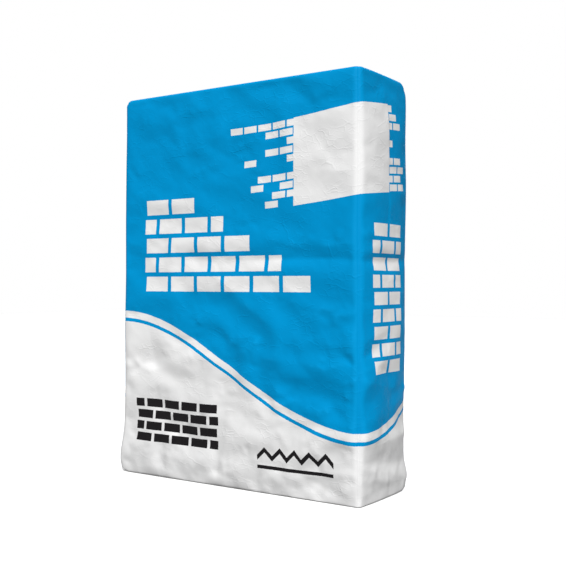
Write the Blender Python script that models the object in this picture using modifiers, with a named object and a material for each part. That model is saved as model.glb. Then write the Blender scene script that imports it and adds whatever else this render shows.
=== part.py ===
"""A filled cement bag: a block-ended valve sack of paper, standing on its bottom end.

Lengths are metres and +Z is up. The origin is on the floor, under the middle of the bag.
The broad front panel faces -Y, and the narrow right panel faces +X.
"""

import math

import bmesh
import bpy
from mathutils import Vector

# The filled bag: between opposite panels' edges, and over the end patches.
BAG_WIDTH = 0.430
BAG_DEPTH = 0.140
BAG_HEIGHT = 0.600

# Paper. The wall is all the plies of the sack together.
WALL = 0.0006
PATCH_THICKNESS = 0.0005
CLEARANCE = 0.0003

# The sack between its two end patches.
SACK_BASE = PATCH_THICKNESS + CLEARANCE
SACK_TOP = BAG_HEIGHT - PATCH_THICKNESS - CLEARANCE

# The edges are creased, and stay crisp between the corners.
CREASE_RADIUS = 0.003
CREASE_SEGMENTS = 2

# How far each panel bulges at its middle. The narrow ones are flatter towards their ends.
BROAD_BELLY = 0.0025
BELLY_SLUMP = 0.8
NARROW_BELLY = 0.008
NARROW_BELLY_POWER = 2.6
NARROW_END_SHARE = 0.35
NARROW_END_REACH = 0.090

# The bag spreads just above the floor, apart from its front right edge, which stays straight.
FOOT_LEVEL = 0.023
FOOT_REACH_LEFT = 0.033
FOOT_REACH_RIGHT = 0.018
FOOT_TUCK = 0.3
FOOT_SPREAD_LEFT = 0.007
FOOT_SPREAD_RIGHT = 0.0045
FOOT_SPREAD_Y = 0.003

# The left panel leans out towards the floor, and the back panel towards the top.
LEFT_LEAN = 0.0042
BACK_LEAN = 0.009
BACK_LEAN_REST = 0.27

# The front right edge is a wider bend than the other creases.
FRONT_RIGHT_BEND = 0.009

# Each corner's radius, seen from the front and seen from the side. Each is round in one of the two.
NOT_ROUND = 0.001
TOP_LEFT_CORNER = (0.013, NOT_ROUND)
TOP_BACK_RIGHT_CORNER = (NOT_ROUND, 0.024)
TOP_FRONT_RIGHT_CORNER = (NOT_ROUND, 0.005)
BOTTOM_LEFT_CORNER = (0.019, NOT_ROUND)
BOTTOM_BACK_RIGHT_CORNER = (NOT_ROUND, 0.022)
BOTTOM_FRONT_RIGHT_CORNER = (NOT_ROUND, NOT_ROUND)
CORNER_FADE = 2.0

# Where the box is cut before it is shaped: distances from its ends and sides, then the cells between.
NEAR_SIDE_CUTS = (0.007, 0.014, 0.021, 0.042)
NEAR_TOP_CUTS = (0.007, 0.014, 0.021, 0.045, 0.085)
NEAR_BASE_CUTS = (0.007, 0.014, 0.023, 0.034, 0.048, 0.068, 0.090)
WIDTH_CELLS = 4
DEPTH_CELLS = 2
HEIGHT_CELLS = 4

# End patches: the cover sheets pasted over the folded ends.
PATCH_WIDTH = 0.380
PATCH_DEPTH = 0.112
PATCH_CORNER = 0.008
PATCH_CORNER_SEGMENTS = 3

# Valve sleeve: a flat paper tube, pressed shut, through the left panel just under the top end.
SLEEVE_WIDTH = 0.096
SLEEVE_THICKNESS = 0.0012
SLEEVE_LIP = 0.012
SLEEVE_INSIDE = 0.095
SLEEVE_CORNER = 0.006
SLEEVE_CORNER_SEGMENTS = 2
SLEEVE_DROP = 0.010
SLEEVE_LEVEL = SACK_TOP - SLEEVE_DROP

# The cement lies just inside the paper, and ends just under the sleeve.
FILL_INSET = WALL + 1.5 * CLEARANCE
FILL_TOP = SLEEVE_LEVEL - SLEEVE_THICKNESS / 2 - CLEARANCE

CUTTER_MARGIN = 0.03

BLUE_INK = (0.0, 0.26, 0.55)
WHITE_PAPER = (0.80, 0.80, 0.79)
KRAFT_PAPER = (0.42, 0.28, 0.16)
CEMENT = (0.70, 0.69, 0.66)
PAPER_ROUGHNESS = 0.6
POWDER_ROUGHNESS = 0.95


def clear_scene():
    for old in list(bpy.data.objects):
        bpy.data.objects.remove(old)


def new_collection(name):
    collection = bpy.data.collections.new(name)
    bpy.context.scene.collection.children.link(collection)
    return collection


def paint(name, colour, roughness):
    material = bpy.data.materials.new(name)
    material.use_nodes = True
    shader = material.node_tree.nodes["Principled BSDF"]
    shader.inputs["Base Color"].default_value = (*colour, 1.0)
    shader.inputs["Roughness"].default_value = roughness
    shader.inputs["Metallic"].default_value = 0.0
    return material


def add_piece(name, bm, collection):
    """Makes an object of a bmesh, and frees the bmesh."""
    mesh = bpy.data.meshes.new(name)
    bm.to_mesh(mesh)
    bm.free()
    piece = bpy.data.objects.new(name, mesh)
    collection.objects.link(piece)
    return piece


def box(low, high):
    """A bmesh box between two corners."""
    low, high = Vector(low), Vector(high)
    bm = bmesh.new()
    bmesh.ops.create_cube(bm, size=1.0)
    bmesh.ops.scale(bm, vec=high - low, verts=bm.verts)
    bmesh.ops.translate(bm, vec=(low + high) / 2, verts=bm.verts)
    return bm


def places_between(low, high, near_low, near_high, cells):
    """Places of the cuts from low to high: close together near both ends, and even between."""
    first, last = low + near_low[-1], high - near_high[-1]
    places = [low + distance for distance in near_low]
    places += [high - distance for distance in near_high]
    places += [first + (last - first) * step / cells for step in range(1, cells)]
    return places


def cut_across(bm, axis, places):
    """Cuts every face of the bmesh at these places along an axis."""
    normal = Vector((0, 0, 0))
    normal[axis] = 1.0
    for place in places:
        everything = bm.verts[:] + bm.edges[:] + bm.faces[:]
        bmesh.ops.bisect_plane(bm, geom=everything, plane_co=normal * place, plane_no=normal)


def smooth_step(value, start, end):
    share = min(1.0, max(0.0, (value - start) / (end - start)))
    return share * share * (3 - 2 * share)


def corner_radii(point):
    """The radius of the corner nearest to a point: seen from the front, and seen from the side."""
    at_right, at_back = point.x > 0, point.y > 0
    if point.z > BAG_HEIGHT / 2:
        right = TOP_BACK_RIGHT_CORNER if at_back else TOP_FRONT_RIGHT_CORNER
        return right if at_right else TOP_LEFT_CORNER
    right = BOTTOM_BACK_RIGHT_CORNER if at_back else BOTTOM_FRONT_RIGHT_CORNER
    return right if at_right else BOTTOM_LEFT_CORNER


def round_move(inside, axes, radius, fade):
    """How far inwards a point moves that lies this far inside the two faces of a round edge."""
    outwards = [min(1.0, max(0.0, 1 - inside[axis] / radius)) for axis in axes]
    length = math.hypot(*outwards)
    move = Vector((0, 0, 0))
    if length > 0:
        share = radius * (1 - max(outwards) / length) * fade
        for axis, outward in zip(axes, outwards):
            move[axis] = outward * share
    return move


def corner_rounding(point):
    """How far a point of the plain box moves, for the round corners and the front right bend."""
    middle = (SACK_BASE + SACK_TOP) / 2
    inside = (
        BAG_WIDTH / 2 - abs(point.x),
        BAG_DEPTH / 2 - abs(point.y),
        (SACK_TOP - SACK_BASE) / 2 - abs(point.z - middle),
    )
    front, side = corner_radii(point)
    moves = [
        round_move(inside, (0, 2), front, 1 - smooth_step(inside[1], 0, CORNER_FADE * front)),
        round_move(inside, (1, 2), side, 1 - smooth_step(inside[0], 0, CORNER_FADE * side)),
    ]
    if point.x > 0 and point.y < 0:
        moves.append(round_move(inside, (0, 1), FRONT_RIGHT_BEND, 1))
    offsets = (-point.x, -point.y, middle - point.z)
    most = [max(move[axis] for move in moves) for axis in range(3)]
    return Vector([math.copysign(move, offset) for move, offset in zip(most, offsets)])


def foot_share(level, reach):
    """How much of the foot's spread a level has: it dies out above, and tucks in a little below."""
    if level < FOOT_LEVEL:
        return 1 - FOOT_TUCK * ((FOOT_LEVEL - level) / FOOT_LEVEL) ** 2
    return math.exp(-(((level - FOOT_LEVEL) / reach) ** 2))


def between(left, right, share):
    return left + (right - left) * share


def filled_place(point):
    """Where a point of the plain box lies on the filled bag."""
    across = point.x / (BAG_WIDTH / 2)
    deep = point.y / (BAG_DEPTH / 2)
    up = max(0.0, (point.z - SACK_BASE) / (SACK_TOP - SACK_BASE))
    place = point + corner_rounding(point)

    from_end = min(point.z - SACK_BASE, SACK_TOP - point.z)
    free = between(NARROW_END_SHARE, 1, smooth_step(from_end, 0, NARROW_END_REACH))
    place.x += across * NARROW_BELLY * (1 - abs(deep) ** NARROW_BELLY_POWER) * free
    place.y += deep * BROAD_BELLY * (1 - across**2) * math.sin(math.pi * up**BELLY_SLUMP)
    place.x -= LEFT_LEAN * (1 - across) / 2 * math.cos(math.pi / 2 * up) ** 2
    risen = math.sin(math.pi / 2 * up) ** 2
    place.y += BACK_LEAN * (1 + deep) / 2 * (risen - BACK_LEAN_REST)

    right = (1 + across) / 2
    straight_edge = right * (1 - deep) / 2
    foot = foot_share(point.z, between(FOOT_REACH_LEFT, FOOT_REACH_RIGHT, right))
    foot *= 1 - straight_edge
    place.x += across * between(FOOT_SPREAD_LEFT, FOOT_SPREAD_RIGHT, right) * foot
    place.y += deep * FOOT_SPREAD_Y * foot
    return place


def add_bag_form(name, collection):
    """The closed outer form of the filled sack. Its creases are a live bevel."""
    half_width, half_depth = BAG_WIDTH / 2, BAG_DEPTH / 2
    bm = box((-half_width, -half_depth, SACK_BASE), (half_width, half_depth, SACK_TOP))
    cut_across(bm, 0, places_between(-half_width, half_width, NEAR_SIDE_CUTS, NEAR_SIDE_CUTS, WIDTH_CELLS))
    cut_across(bm, 1, places_between(-half_depth, half_depth, NEAR_SIDE_CUTS, NEAR_SIDE_CUTS, DEPTH_CELLS))
    cut_across(bm, 2, places_between(SACK_BASE, SACK_TOP, NEAR_BASE_CUTS, NEAR_TOP_CUTS, HEIGHT_CELLS))
    for vert in bm.verts:
        vert.co = filled_place(vert.co)
    form = add_piece(name, bm, collection)
    form.data.shade_smooth()

    crease = form.modifiers.new("creased edges", "BEVEL")
    crease.limit_method = "ANGLE"
    crease.angle_limit = math.radians(50)
    crease.width = CREASE_RADIUS
    crease.segments = CREASE_SEGMENTS
    return form


def add_cutter(name, low, high, collection):
    cutter = add_piece(name, box(low, high), collection)
    cutter.hide_render = True
    cutter.display_type = "WIRE"
    return cutter


def cut_with(piece, cutter):
    cut = piece.modifiers.new(cutter.name, "BOOLEAN")
    cut.operation = "DIFFERENCE"
    cut.object = cutter


def make_paper_sack(parts, cutters):
    sack = add_bag_form("paper_sack", parts)
    wall = sack.modifiers.new("paper wall", "SOLIDIFY")
    wall.thickness = WALL
    wall.offset = -1.0
    wall.use_even_offset = True

    half_slot = SLEEVE_WIDTH / 2 + CLEARANCE
    half_gap = SLEEVE_THICKNESS / 2 + CLEARANCE
    slot = add_cutter(
        "valve_slot",
        (-BAG_WIDTH / 2 - CUTTER_MARGIN, -half_slot, SLEEVE_LEVEL - half_gap),
        (-BAG_WIDTH / 2 + CUTTER_MARGIN, half_slot, SLEEVE_LEVEL + half_gap),
        cutters,
    )
    cut_with(sack, slot)
    sack.data.materials.append(paint("printed_paper", BLUE_INK, PAPER_ROUGHNESS))


def make_cement_fill(parts, cutters):
    fill = add_bag_form("cement_fill", parts)
    inset = fill.modifiers.new("inside the wall", "DISPLACE")
    inset.direction = "NORMAL"
    inset.mid_level = 0.0
    inset.strength = -FILL_INSET

    headspace = add_cutter(
        "headspace",
        (-BAG_WIDTH / 2 - CUTTER_MARGIN, -BAG_DEPTH / 2 - CUTTER_MARGIN, FILL_TOP),
        (BAG_WIDTH / 2 + CUTTER_MARGIN, BAG_DEPTH / 2 + CUTTER_MARGIN, BAG_HEIGHT + CUTTER_MARGIN),
        cutters,
    )
    cut_with(fill, headspace)
    fill.data.materials.append(paint("cement", CEMENT, POWDER_ROUGHNESS))


def flat_sheet(low, high, corner, segments):
    """A thin upright-edged sheet with round corners, seen from above."""
    bm = box(low, high)
    corners = [edge for edge in bm.edges if edge.verts[0].co.xy == edge.verts[1].co.xy]
    bmesh.ops.bevel(bm, geom=corners, offset=corner, segments=segments, profile=0.5, affect="EDGES")
    return bm


def make_end_patch(name, base, paper, parts):
    half_width, half_depth = PATCH_WIDTH / 2, PATCH_DEPTH / 2
    sheet = flat_sheet(
        (-half_width, -half_depth, base),
        (half_width, half_depth, base + PATCH_THICKNESS),
        PATCH_CORNER,
        PATCH_CORNER_SEGMENTS,
    )
    patch = add_piece(name, sheet, parts)
    patch.data.materials.append(paper)


def make_valve_sleeve(parts):
    sheet = flat_sheet(
        (-BAG_WIDTH / 2 - SLEEVE_LIP, -SLEEVE_WIDTH / 2, SLEEVE_LEVEL - SLEEVE_THICKNESS / 2),
        (-BAG_WIDTH / 2 + SLEEVE_INSIDE, SLEEVE_WIDTH / 2, SLEEVE_LEVEL + SLEEVE_THICKNESS / 2),
        SLEEVE_CORNER,
        SLEEVE_CORNER_SEGMENTS,
    )
    sleeve = add_piece("valve_sleeve", sheet, parts)
    sleeve.data.materials.append(paint("sleeve_paper", KRAFT_PAPER, PAPER_ROUGHNESS))


def main():
    clear_scene()
    parts = new_collection("cement_bag")
    cutters = new_collection("cutters")
    make_paper_sack(parts, cutters)
    make_cement_fill(parts, cutters)
    patch_paper = paint("patch_paper", WHITE_PAPER, PAPER_ROUGHNESS)
    make_end_patch("bottom_patch", 0.0, patch_paper, parts)
    make_end_patch("top_patch", BAG_HEIGHT - PATCH_THICKNESS, patch_paper, parts)
    make_valve_sleeve(parts)


main()
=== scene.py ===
"""The looks of a filled cement bag: a block-ended valve sack of printed paper on its bottom end.

Lengths are metres and +Z is up. The origin is on the floor, under the middle of the bag.
The broad front panel faces -Y, and the narrow right panel faces +X.
"""

import math

import bpy
import numpy as np
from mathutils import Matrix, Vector


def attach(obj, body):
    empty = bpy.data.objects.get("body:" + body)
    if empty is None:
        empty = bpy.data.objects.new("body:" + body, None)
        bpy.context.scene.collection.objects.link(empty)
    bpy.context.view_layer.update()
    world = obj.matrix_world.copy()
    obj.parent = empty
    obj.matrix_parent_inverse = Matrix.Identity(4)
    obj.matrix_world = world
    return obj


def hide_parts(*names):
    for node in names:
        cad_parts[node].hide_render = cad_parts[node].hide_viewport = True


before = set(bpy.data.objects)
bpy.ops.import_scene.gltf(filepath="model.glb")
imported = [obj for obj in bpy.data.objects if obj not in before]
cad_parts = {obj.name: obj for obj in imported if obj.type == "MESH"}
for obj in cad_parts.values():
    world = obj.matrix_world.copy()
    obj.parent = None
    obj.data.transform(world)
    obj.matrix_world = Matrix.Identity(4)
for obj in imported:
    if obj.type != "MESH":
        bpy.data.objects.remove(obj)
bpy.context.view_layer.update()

# The filled bag, as in the frame
BAG_WIDTH = 0.430
BAG_DEPTH = 0.140
BAG_HEIGHT = 0.600
GIRTH = 2 * (BAG_WIDTH + BAG_DEPTH)
SACK_BASE = 0.0008
FLOOR_ROOM = 0.0003
SACK_TOP = 0.5992
SACK_MIDDLE = (SACK_BASE + SACK_TOP) / 2

# Creases along the edges, and the grid between them
CREASE_RADIUS = 0.003
CREASE_SEGMENTS = 2
SHARP_ANGLE = math.radians(40)
WIDTH_CELLS = 72
DEPTH_CELLS = 23
HEIGHT_CELLS = 99

# Bellies, leans and the spread foot
BROAD_BELLY = 0.0025
BELLY_SLUMP = 0.8
NARROW_BELLY = 0.008
NARROW_BELLY_POWER = 2.6
NARROW_END_SHARE = 0.35
NARROW_END_REACH = 0.090
FOOT_LEVEL = 0.023
FOOT_REACH_LEFT = 0.033
FOOT_REACH_RIGHT = 0.018
FOOT_TUCK = 0.3
FOOT_SPREAD_LEFT = 0.007
FOOT_SPREAD_RIGHT = 0.0045
FOOT_SPREAD_Y = 0.003
FOOT_CREASE = 0.3
LEFT_LEAN = 0.0042
BACK_LEAN = 0.009
BACK_LEAN_REST = 0.27

# How wide the upright edges bend: the front right one, and the others
FRONT_RIGHT_BEND = 0.009
OTHER_BENDS = 0.0045

# Each soft corner's radius, seen from the front and seen from the side
TOP_LEFT_CORNER = (0.013, 0.001)
TOP_BACK_RIGHT_CORNER = (0.001, 0.024)
TOP_FRONT_RIGHT_CORNER = (0.001, 0.005)
BOTTOM_LEFT_CORNER = (0.019, 0.001)
BOTTOM_BACK_RIGHT_CORNER = (0.001, 0.022)
BOTTOM_FRONT_RIGHT_CORNER = (0.001, 0.001)
CORNER_FADE = 2.0

# The pressed fold across the front and the right panel, from the bag's stacking
FOLD_LEVEL = 0.337
FOLD_DEPTH = 0.0015
FOLD_REACH = 0.020
FOLD_LINE_DEPTH = 0.0005
FOLD_LINE_REACH = 0.007

# The paper is longer than the filling's smooth form, so it buckles over it
BUCKLE_START = 0.6
BUCKLE_LIMIT = 0.0032
BUCKLE_CRISPNESS = 0.6
MOST_GROWTH = 0.005
LEAST_GROWTH = 0.001
HOLD_REACH = 0.012
HOLD_INSIDE = 0.20
PAPER_STIFFNESS = 100.0
PAPER_BENDING = 50.0
POWDER_PRESSURE = 0.5
SETTLING_FRAMES = 20

# Broad dents of the sheet
DENT_STRAY = 0.010
SWELL_HEIGHT = 0.0004
FACET_HEIGHT = 0.0013

# Stars of creases that crumpling left: seed, how many, longest crease, greatest height
CREASE_STARS = (
    (81, 30, 0.170, 0.0021),
    (82, 100, 0.085, 0.0014),
    (83, 300, 0.040, 0.00085),
)
STAR_FLATNESS = 0.55
STAR_REACH = 0.30

# End folds: the ends dish a little inside their creases, and the flaps lie in the dish
END_DISH = 0.0010
END_DISH_REACH = 0.012
FLAP_LIFT = 0.0006
FLAP_RISE = 0.010
FLAP_STEP = 0.006
FLAP_PAPER = FLAP_LIFT + 0.0001
FLAP_OVERLAP = 0.012
PATCH_WIDTH = 0.380
PATCH_DEPTH = 0.112
PATCH_CORNER = 0.008
PATCH_PAPER = 0.0004
COVER_LIFT = 0.0005
COVER_STEP = 0.004
PASTE_GAP = 0.00004
PANEL_MARGIN = 0.0005

# The pasted seam of the tube, up the back panel
SEAM_LEFT = -0.030
SEAM_RIGHT = 0.006
SEAM_LIFT = 0.0005
SEAM_EDGE = 0.004
SEAM_PAPER = SEAM_LIFT + 0.0001

# Ridges whose ink is painted a lighter blue: partly rubbed ink, partly a painted highlight
RIDGE_LOW = 0.00002
RIDGE_HIGH = 0.00009
RIDGE_EDGE = 0.004

# Valve sleeve
SLEEVE_LEVEL = SACK_TOP - 0.010
SLEEVE_WIDTH = 0.096
SLEEVE_LIP = 0.012
SLEEVE_INSIDE = 0.095
SLEEVE_THICKNESS = 0.0012
SLEEVE_CELLS = 24
SLEEVE_RIM = 0.0003
MOUTH_DEPTH = 0.020
MOUTH_OPENING = 0.0009
MOUTH_REACH = 0.016
MOUTH_WAVE = 0.0005

# The cement's room inside the paper
CORE_CELLS = (30, 10, 40)
CORE_INSET = 0.0065
CORE_TOP = SLEEVE_LEVEL - SLEEVE_THICKNESS / 2 - 0.0003

# Colours
BLUE_INK = (0.0, 0.275, 0.595)
# Lighter blue on ridges: partly rubbed ink, partly a painted highlight
HIGHLIGHT_AND_RUBBED_INK = (0.004, 0.36, 0.76)
BLACK_INK = (0.012, 0.011, 0.012)
WHITE_PAPER = (0.80, 0.80, 0.80)

# The print repeats on the front and the right panel, and on the back and the left one
PRINT_REPEAT = BAG_WIDTH + BAG_DEPTH
PRINT_OVERLAP = 0.013
SHORE_LEVEL = 0.180
SHORE_SWING = 0.080
STRIPE_DROP = 0.014
STRIPE_HEIGHT = 0.0056
BELT_ARCH = 0.016
BELT_LEVEL = 0.4875
BELT_HEIGHT = 0.125
BELT_FIRST_BRICK = 0.215
BELT_LEFT = 0.325
BELT_RIGHT = 0.500
BELT_LAST_BRICK = 0.560
ZIGZAG_LEFT = 0.265
ZIGZAG_RIGHT = 0.390
ZIGZAG_LEVEL = 0.052
ZIGZAG_STEP = 0.0125


def put_down():
    """Leaves edit mode, with nothing selected."""
    if bpy.context.mode != "OBJECT":
        bpy.ops.object.mode_set(mode="OBJECT")
    bpy.ops.object.select_all(action="DESELECT")


def pick_up(piece):
    put_down()
    piece.select_set(True)
    bpy.context.view_layer.objects.active = piece


def name_piece(name):
    piece = bpy.context.object
    piece.name = name
    piece.data.name = name
    return piece


def settle(piece):
    """Puts the piece's place, turn and size into its mesh."""
    pick_up(piece)
    bpy.ops.object.transform_apply(location=True, rotation=True, scale=True)


def places_of(piece):
    places = np.empty(len(piece.data.vertices) * 3, np.float32)
    piece.data.vertices.foreach_get("co", places)
    return places.reshape(-1, 3).astype(float)


def place_all(piece, places):
    piece.data.vertices.foreach_set("co", places.astype(np.float32).ravel())
    piece.data.update()


def normals_of(piece):
    normals = np.empty(len(piece.data.vertices) * 3, np.float32)
    piece.data.vertex_normals.foreach_get("vector", normals)
    return normals.reshape(-1, 3).astype(float)


def edges_of(piece):
    edges = np.empty(len(piece.data.edges) * 2, np.int32)
    piece.data.edges.foreach_get("vertices", edges)
    return edges.reshape(-1, 2)


def select_only(piece, kind, elements, wanted):
    """Selects these edges or faces alone, and leaves the piece in edit mode."""
    pick_up(piece)
    bpy.ops.object.mode_set(mode="EDIT")
    bpy.ops.mesh.select_mode(type=kind)
    bpy.ops.mesh.select_all(action="DESELECT")
    bpy.ops.object.mode_set(mode="OBJECT")
    elements.foreach_set("select", wanted)
    bpy.ops.object.mode_set(mode="EDIT")


def select_edges(piece, wanted):
    select_only(piece, "EDGE", piece.data.edges, wanted)


def select_faces(piece, wanted):
    select_only(piece, "FACE", piece.data.polygons, wanted)


def corners_of(piece):
    """The point at each face corner, the face that each corner belongs to, and each face's count."""
    points = np.empty(len(piece.data.loops), np.int32)
    piece.data.loops.foreach_get("vertex_index", points)
    counts = np.empty(len(piece.data.polygons), np.int32)
    piece.data.polygons.foreach_get("loop_total", counts)
    return points, np.repeat(np.arange(len(counts)), counts), counts


def face_middles(piece):
    middles = np.empty(len(piece.data.polygons) * 3, np.float32)
    piece.data.polygons.foreach_get("center", middles)
    return middles.reshape(-1, 3).astype(float)


def apply_modifier(piece, modifier):
    pick_up(piece)
    bpy.ops.object.modifier_apply(modifier=modifier.name)


def smooth_step(values, start, end):
    share = np.clip((values - start) / (end - start), 0, 1)
    return share * share * (3 - 2 * share)


def corner_radii(x, y, z):
    """The radius of the nearest corner of the bag: seen from the front, and seen from the side."""
    top_right = np.where(y[:, None] > 0, TOP_BACK_RIGHT_CORNER, TOP_FRONT_RIGHT_CORNER)
    bottom_right = np.where(y[:, None] > 0, BOTTOM_BACK_RIGHT_CORNER, BOTTOM_FRONT_RIGHT_CORNER)
    top = np.where(x[:, None] > 0, top_right, TOP_LEFT_CORNER)
    bottom = np.where(x[:, None] > 0, bottom_right, BOTTOM_LEFT_CORNER)
    return np.where(z[:, None] > BAG_HEIGHT / 2, top, bottom)


def distances_inside(plain):
    """How far points of the plain box lie inside its faces: across, in depth and upwards."""
    x, y, z = plain.T
    return np.stack([
        BAG_WIDTH / 2 - np.abs(x),
        BAG_DEPTH / 2 - np.abs(y),
        (SACK_TOP - SACK_BASE) / 2 - np.abs(z - SACK_MIDDLE),
    ], axis=1)


def corner_roundings(plain):
    """How far points of the plain box move inwards, for its round corners and upright bends."""
    inside = distances_inside(plain)
    radii = corner_radii(*plain.T)
    front_right = (plain[:, 0] > 0) & (plain[:, 1] < 0)
    bends = np.where(front_right, FRONT_RIGHT_BEND, OTHER_BENDS)
    fades = 1 - smooth_step(inside[:, [1, 0]], 0.0, CORNER_FADE * radii)
    moves = np.zeros_like(plain)
    for axes, radius, fade in (
        ([0, 2], radii[:, 0], fades[:, 0]),
        ([1, 2], radii[:, 1], fades[:, 1]),
        ([0, 1], bends, 1.0),
    ):
        outwards = np.clip(1 - inside[:, axes] / radius[:, None], 0, 1)
        length = np.maximum(np.linalg.norm(outwards, axis=1), 1e-6)
        share = radius * (1 - outwards.max(axis=1) / length) * fade
        moves[:, axes] = np.maximum(moves[:, axes], outwards * share[:, None])
    return -np.sign(plain - (0, 0, SACK_MIDDLE)) * moves


def foot_crease(plain):
    """How far points move outwards, because the bag's weight sharpens the crease round its foot."""
    inside = distances_inside(plain)
    low = plain[:, 2] < SACK_MIDDLE
    near = 1 - smooth_step(inside, CREASE_RADIUS, 4 * CREASE_RADIUS)
    share = (1 - FOOT_CREASE) * (low * near[:, 2])[:, None] * near
    return inside * share * np.sign(plain - (0, 0, SACK_MIDDLE))


def foot_shares(z, reach):
    below = 1 - FOOT_TUCK * ((FOOT_LEVEL - z) / FOOT_LEVEL) ** 2
    above = np.exp(-(((z - FOOT_LEVEL) / reach) ** 2))
    return np.where(z < FOOT_LEVEL, below, above)


def filled_places(plain):
    """Where points of the plain box lie on the filled bag."""
    x, y, z = plain.T
    across, deep = x / (BAG_WIDTH / 2), y / (BAG_DEPTH / 2)
    up = np.clip((z - SACK_BASE) / (SACK_TOP - SACK_BASE), 0, 1)
    places = plain + corner_roundings(plain) + foot_crease(plain)

    from_end = (SACK_TOP - SACK_BASE) / 2 - np.abs(z - SACK_MIDDLE)
    free = NARROW_END_SHARE + (1 - NARROW_END_SHARE) * smooth_step(from_end, 0.0, NARROW_END_REACH)
    places[:, 0] += across * NARROW_BELLY * (1 - np.abs(deep) ** NARROW_BELLY_POWER) * free
    places[:, 1] += deep * BROAD_BELLY * (1 - across**2) * np.sin(np.pi * up**BELLY_SLUMP)
    places[:, 0] -= LEFT_LEAN * (1 - across) / 2 * np.cos(np.pi / 2 * up) ** 2
    places[:, 1] += BACK_LEAN * (1 + deep) / 2 * (np.sin(np.pi / 2 * up) ** 2 - BACK_LEAN_REST)

    right = (1 + across) / 2
    foot = foot_shares(z, FOOT_REACH_LEFT + (FOOT_REACH_RIGHT - FOOT_REACH_LEFT) * right)
    foot *= 1 - right * (1 - deep) / 2
    places[:, 0] += across * (FOOT_SPREAD_LEFT + (FOOT_SPREAD_RIGHT - FOOT_SPREAD_LEFT) * right) * foot
    places[:, 1] += deep * FOOT_SPREAD_Y * foot
    return places


def box_grid(name, width_cells, depth_cells, height_cells):
    """The plain box of the sack with creased edges, cut into cells like a net."""
    put_down()
    bpy.ops.mesh.primitive_cube_add(
        size=1.0,
        location=(0, 0, SACK_MIDDLE),
        scale=(BAG_WIDTH, BAG_DEPTH, SACK_TOP - SACK_BASE),
    )
    piece = name_piece(name)
    settle(piece)
    bpy.ops.object.mode_set(mode="EDIT")
    bpy.ops.mesh.select_all(action="SELECT")
    bpy.ops.mesh.bevel(
        offset=CREASE_RADIUS, segments=CREASE_SEGMENTS, profile=0.5, affect="EDGES"
    )
    for axis, cells in enumerate((width_cells, depth_cells, height_cells)):
        cut_cells(piece, axis, cells)
    put_down()
    return piece


def cut_cells(piece, axis, cells):
    """Cuts every long edge that runs along an axis into this many cells."""
    bpy.ops.object.mode_set(mode="OBJECT")
    edges = edges_of(piece)
    places = places_of(piece)
    runs = np.abs(places[edges[:, 1]] - places[edges[:, 0]])
    others = np.delete(runs, axis, axis=1).max(axis=1)
    select_edges(piece, (runs[:, axis] > 2 * CREASE_RADIUS) & (others < 1e-5))
    bpy.ops.mesh.subdivide(number_cuts=cells - 1)


def keep_vectors(piece, name, vectors):
    """Keeps a vector for each point of the piece, which also goes to the points of a finer net."""
    if name in piece.data.attributes:
        piece.data.attributes.remove(piece.data.attributes[name])
    kept = piece.data.attributes.new(name, "FLOAT_VECTOR", "POINT")
    kept.data.foreach_set("vector", vectors.astype(np.float32).ravel())


def kept_vectors(piece, name):
    vectors = np.empty(len(piece.data.vertices) * 3, np.float32)
    piece.data.attributes[name].data.foreach_get("vector", vectors)
    return vectors.reshape(-1, 3).astype(float)


def swell(across, up, length, seed, count=9):
    """A smooth mix of waves about this long, in all directions."""
    draw = np.random.default_rng(seed)
    total = np.zeros_like(across)
    for _ in range(count):
        turn, phase = draw.uniform(0, 2 * math.pi, 2)
        run = length * draw.uniform(0.7, 1.4)
        along = across * math.cos(turn) + up * math.sin(turn)
        total += np.sin(along * 2 * math.pi / run + phase)
    return total / math.sqrt(count)


def facets(across, up, cell, seed):
    """Heights that are flat between the points of a net of triangles, as stiff paper buckles."""
    heights = np.random.default_rng(seed).uniform(-1, 1, (61, 61))
    skew = (across + up) / cell * (math.sqrt(3) - 1) / 2
    column, row = np.floor(across / cell + skew), np.floor(up / cell + skew)
    right, top = across / cell + skew - column, up / cell + skew - row
    column, row = column.astype(int), row.astype(int)
    near = heights[column % 61, row % 61]
    far = heights[(column + 1) % 61, (row + 1) % 61]
    beside = np.where(
        right > top,
        heights[(column + 1) % 61, row % 61],
        heights[column % 61, (row + 1) % 61],
    )
    longer, shorter = np.maximum(right, top), np.minimum(right, top)
    return near * (1 - longer) + beside * (longer - shorter) + far * shorter


def dents(across, up):
    """How far the broad dents of crumpled paper stand out, in metres."""
    u = across + DENT_STRAY * swell(across, up, 0.080, 21)
    v = up + DENT_STRAY * swell(across, up, 0.080, 23)
    low = 1 - smooth_step(up, 0.10, 0.30)
    swells = SWELL_HEIGHT * swell(across / 1.3, up * 1.2, 0.090, 25)
    buckled = FACET_HEIGHT * facets(u / 1.7, v, 0.040, 31)
    return (0.6 + 0.4 * low) * (swells + buckled)


def crinkles(across, up):
    """How far the small crinkles between the dents stand out, in metres."""
    u = across + 0.004 * swell(across, up, 0.045, 22)
    v = up + 0.004 * swell(across, up, 0.045, 24)
    low = 1 - smooth_step(up, 0.10, 0.34)
    patches = smooth_step(swell(across, up, 0.070, 41), -0.1, 0.9)
    return (0.00008 + (0.00014 + 0.00010 * low) * patches) * facets(v, u, 0.013, 33)


def crease(across, up, start, end, height, reach):
    """A straight crease between two points: a sharp line whose sides die out over its reach."""
    start, end = np.array(start), np.array(end)
    run = end - start
    length = np.hypot(*run)
    away_u, away_v = across - start[0], up - start[1]
    along = (away_u * run[0] + away_v * run[1]) / length**2
    off = np.abs(away_u * run[1] - away_v * run[0]) / length
    taper = np.sin(np.pi * np.clip(along, 0, 1)) ** 0.7
    return height * taper * np.maximum(0, 1 - off / reach) ** 1.3


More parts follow.
